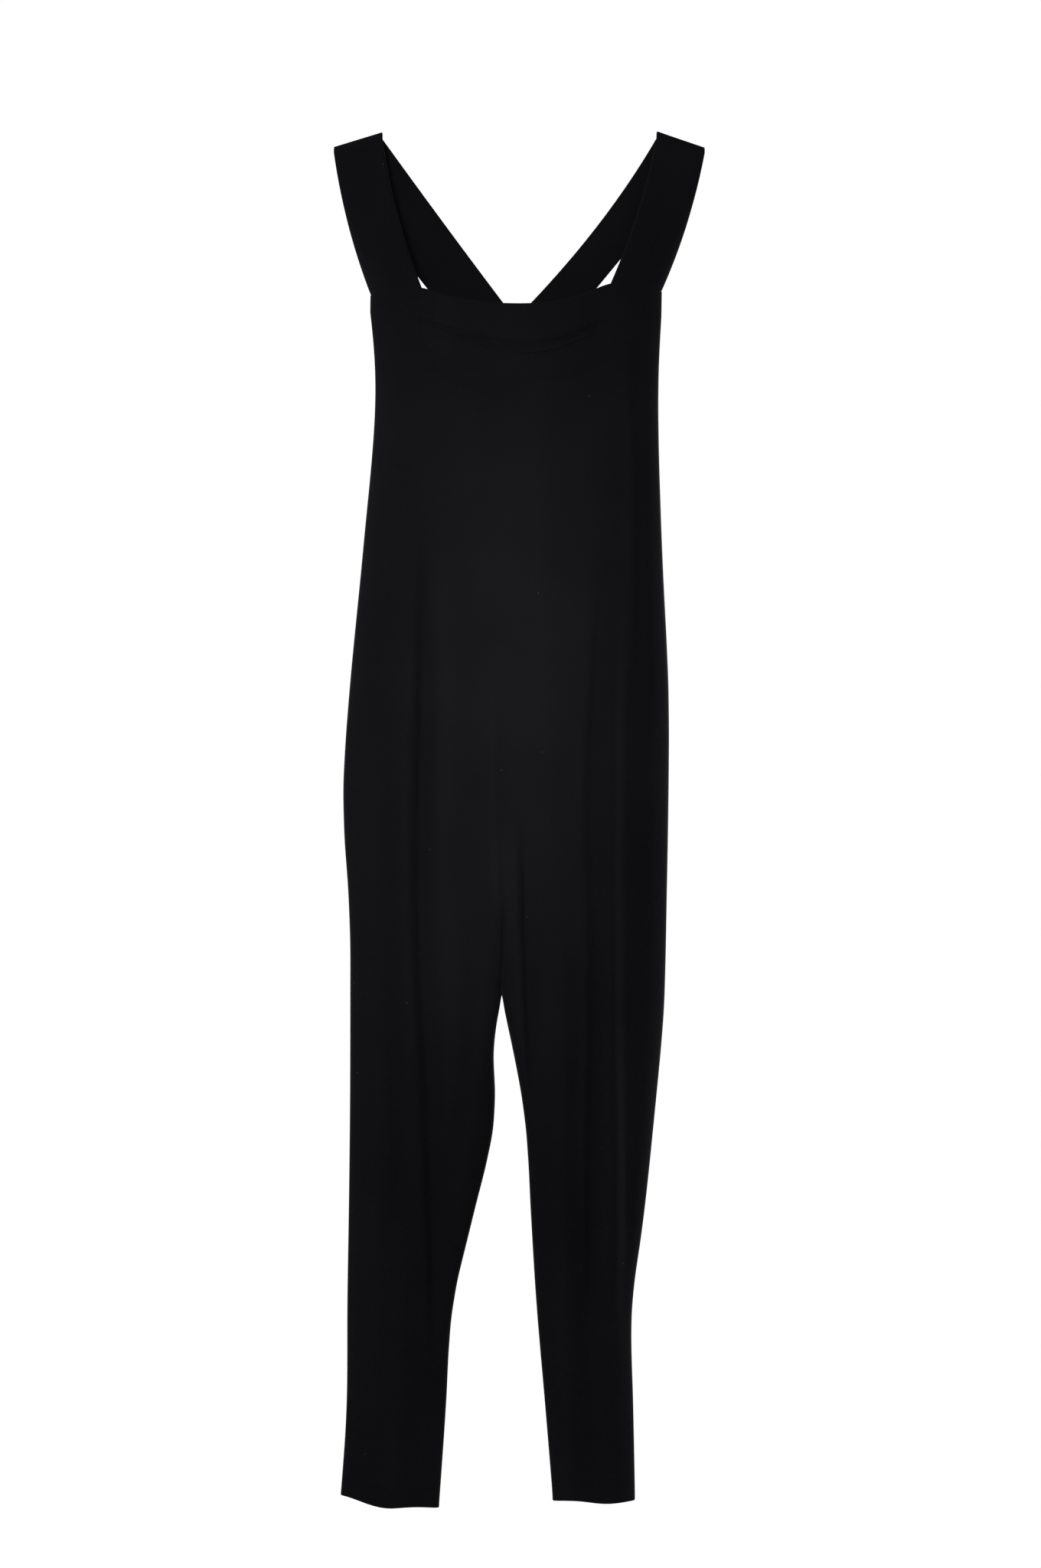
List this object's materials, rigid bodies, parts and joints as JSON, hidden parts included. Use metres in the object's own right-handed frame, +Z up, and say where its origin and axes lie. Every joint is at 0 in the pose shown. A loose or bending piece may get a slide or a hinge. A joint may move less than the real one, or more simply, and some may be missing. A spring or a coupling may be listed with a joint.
{
  "type": "gymnastics unitard",
  "caption": "Sleeveless full-length gymnastics unitard in plain black knit with wide shoulder straps crossed on the back, as it hangs from its straps.",
  "frame": {"origin": "on the line of the hanger's arms, midway between the two shoulder folds of the straps", "axes": "+Z up towards the hanger, -Y out of the garment's front, +X to the wearer's left"},
  "size_m": [0.3319, 0.041, 1.2229],
  "materials": {
    "knit": "matt fine black jersey with a faint sheen at grazing angles",
    "strap_knit": "the same jersey doubled, matt black",
    "lining": "soft matt black cotton knit",
    "thread": "black polyester thread, slightly shiny",
    "elastic": "black woven elastic tape",
    "label": "blank off-white satin tape"
  },
  "bodies": {
    "torso": {"back_band_elastic": "elastic", "back_band_stitching": "thread", "back_crotch_lining": "lining", "back_left_body": "knit", "back_neck_band": "knit", "back_right_body": "knit", "care_label": "label", "centre_back_seam": "thread", "centre_front_seam": "thread", "front_band_elastic": "elastic", "front_band_stitching": "thread", "front_crotch_lining": "lining", "front_left_body": "knit", "front_neck_band": "knit", "front_right_body": "knit", "left_back_strap_tack": "thread", "left_front_strap_tack": "thread", "left_side_seam": "thread", "left_strap": "strap_knit", "right_back_strap_tack": "thread", "right_front_strap_tack": "thread", "right_side_seam": "thread", "right_strap": "strap_knit", "size_label": "label"},
    "left_leg": {"back_left_leg": "knit", "front_left_leg": "knit", "left_ankle_hem": "knit", "left_hem_stitching": "thread", "left_inseam": "thread", "left_leg_side_seam": "thread"},
    "right_leg": {"back_right_leg": "knit", "front_right_leg": "knit", "right_ankle_hem": "knit", "right_hem_stitching": "thread", "right_inseam": "thread", "right_leg_side_seam": "thread"}
  },
  "joints": [
    {"name": "right_leg_fold", "type": "hinge", "parent": "torso", "child": "right_leg", "pos_m": [-0.07, -0.0185, -0.8065], "axis": [-1, 0, 0], "range_deg": [0, 170]},
    {"name": "left_leg_fold", "type": "hinge", "parent": "torso", "child": "left_leg", "pos_m": [0.076, -0.0185, -0.8065], "axis": [-1, 0, 0], "range_deg": [0, 170]}
  ]
}
